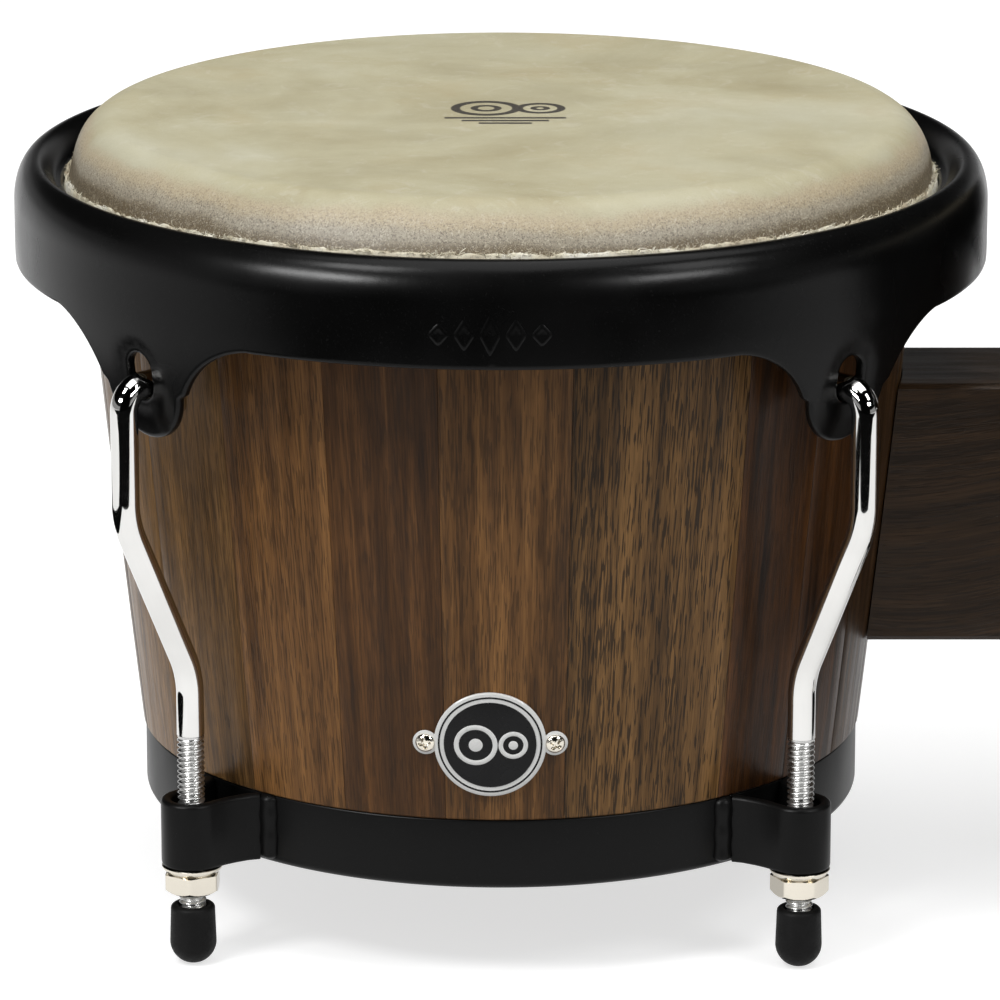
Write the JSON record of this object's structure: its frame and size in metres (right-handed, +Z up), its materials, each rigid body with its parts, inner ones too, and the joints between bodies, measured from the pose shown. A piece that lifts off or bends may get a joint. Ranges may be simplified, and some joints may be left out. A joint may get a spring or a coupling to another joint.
{
  "type": "bongo drums",
  "caption": "Pair of staved wooden hand drums, a larger and a smaller, joined by a wood block, with rawhide heads, steel rims, hooked tension rods and tuning nuts.",
  "frame": {"origin": "middle of the bounding box, at the level of the rubber tips' flat ends", "axes": "+Z up out of the playing heads, +X from the larger drum to the smaller one, badges and player's opposite side face -Y"},
  "size_m": [0.4378, 0.2288, 0.1866],
  "materials": {
    "stave_wood": "satin",
    "block_wood": "satin",
    "rawhide": "matte",
    "black_steel": "satin",
    "hoop_steel": "satin",
    "rod_chrome": "gloss",
    "nut_nickel": "satin",
    "screw_nickel": "satin",
    "plate_steel": "satin",
    "tip_rubber": "matte",
    "badge_enamel": "gloss"
  },
  "bodies": {
    "shells": {"hembra_shell": "stave_wood", "hembra_head": "rawhide", "hembra_bottom_ring": "black_steel", "hembra_lug_straps": "black_steel", "hembra_badge": "badge_enamel", "hembra_badge_screws": "screw_nickel", "hembra_backing_plate": "plate_steel", "macho_shell": "stave_wood", "macho_head": "rawhide", "macho_bottom_ring": "black_steel", "macho_lug_straps": "black_steel", "macho_badge": "badge_enamel", "macho_badge_screws": "screw_nickel", "macho_backing_plate": "plate_steel", "centre_block": "block_wood", "block_bolts": "plate_steel", "block_nuts": "nut_nickel"},
    "hembra_tuning_rim": {"hembra_rim": "black_steel", "hembra_flesh_hoop": "hoop_steel", "hembra_head_tuck": "rawhide", "hembra_tension_rods": "rod_chrome", "hembra_rod_tips": "tip_rubber"},
    "hembra_nut_front_left": {"hembra_nut_front_left": "nut_nickel"},
    "hembra_nut_front_right": {"hembra_nut_front_right": "nut_nickel"},
    "hembra_nut_back_right": {"hembra_nut_back_right": "nut_nickel"},
    "hembra_nut_back_left": {"hembra_nut_back_left": "nut_nickel"},
    "macho_tuning_rim": {"macho_rim": "black_steel", "macho_flesh_hoop": "hoop_steel", "macho_head_tuck": "rawhide", "macho_tension_rods": "rod_chrome", "macho_rod_tips": "tip_rubber"},
    "macho_nut_front_left": {"macho_nut_front_left": "nut_nickel"},
    "macho_nut_front_right": {"macho_nut_front_right": "nut_nickel"},
    "macho_nut_back_right": {"macho_nut_back_right": "nut_nickel"},
    "macho_nut_back_left": {"macho_nut_back_left": "nut_nickel"}
  },
  "joints": [
    {"name": "hembra_rim_slide", "type": "slide", "parent": "shells", "child": "hembra_tuning_rim", "axis": [0, 0, 1], "range_m": [-0.004, 0.003]},
    {"name": "hembra_nut_front_left_turn", "type": "hinge", "parent": "shells", "child": "hembra_nut_front_left", "pos_m": [-0.17586, -0.06891, 0.0205], "axis": [0, 0, 1], "range_deg": [-860, 1140]},
    {"name": "hembra_nut_front_right_turn", "type": "hinge", "parent": "shells", "child": "hembra_nut_front_right", "pos_m": [-0.03559, -0.07136, 0.0205], "axis": [0, 0, 1], "range_deg": [-860, 1140]},
    {"name": "hembra_nut_back_right_turn", "type": "hinge", "parent": "shells", "child": "hembra_nut_back_right", "pos_m": [-0.03314, 0.06891, 0.0205], "axis": [0, 0, 1], "range_deg": [-860, 1140]},
    {"name": "hembra_nut_back_left_turn", "type": "hinge", "parent": "shells", "child": "hembra_nut_back_left", "pos_m": [-0.17341, 0.07136, 0.0205], "axis": [0, 0, 1], "range_deg": [-860, 1140]},
    {"name": "macho_rim_slide", "type": "slide", "parent": "shells", "child": "macho_tuning_rim", "axis": [0, 0, 1], "range_m": [-0.004, 0.003]},
    {"name": "macho_nut_front_left_turn", "type": "hinge", "parent": "shells", "child": "macho_nut_front_left", "pos_m": [0.06048, -0.05786, 0.0205], "axis": [0, 0, 1], "range_deg": [-860, 1140]},
    {"name": "macho_nut_front_right_turn", "type": "hinge", "parent": "shells", "child": "macho_nut_front_right", "pos_m": [0.17827, -0.05992, 0.0205], "axis": [0, 0, 1], "range_deg": [-860, 1140]},
    {"name": "macho_nut_back_right_turn", "type": "hinge", "parent": "shells", "child": "macho_nut_back_right", "pos_m": [0.18032, 0.05786, 0.0205], "axis": [0, 0, 1], "range_deg": [-860, 1140]},
    {"name": "macho_nut_back_left_turn", "type": "hinge", "parent": "shells", "child": "macho_nut_back_left", "pos_m": [0.06253, 0.05992, 0.0205], "axis": [0, 0, 1], "range_deg": [-860, 1140]}
  ],
  "couplings": [
    {"joint": "hembra_nut_front_left_turn", "follows": "hembra_rim_slide", "rad_per_m": -4947.4},
    {"joint": "hembra_nut_front_right_turn", "follows": "hembra_rim_slide", "rad_per_m": -4947.4},
    {"joint": "hembra_nut_back_right_turn", "follows": "hembra_rim_slide", "rad_per_m": -4947.4},
    {"joint": "hembra_nut_back_left_turn", "follows": "hembra_rim_slide", "rad_per_m": -4947.4},
    {"joint": "macho_nut_front_left_turn", "follows": "macho_rim_slide", "rad_per_m": -4947.4},
    {"joint": "macho_nut_front_right_turn", "follows": "macho_rim_slide", "rad_per_m": -4947.4},
    {"joint": "macho_nut_back_right_turn", "follows": "macho_rim_slide", "rad_per_m": -4947.4},
    {"joint": "macho_nut_back_left_turn", "follows": "macho_rim_slide", "rad_per_m": -4947.4}
  ]
}
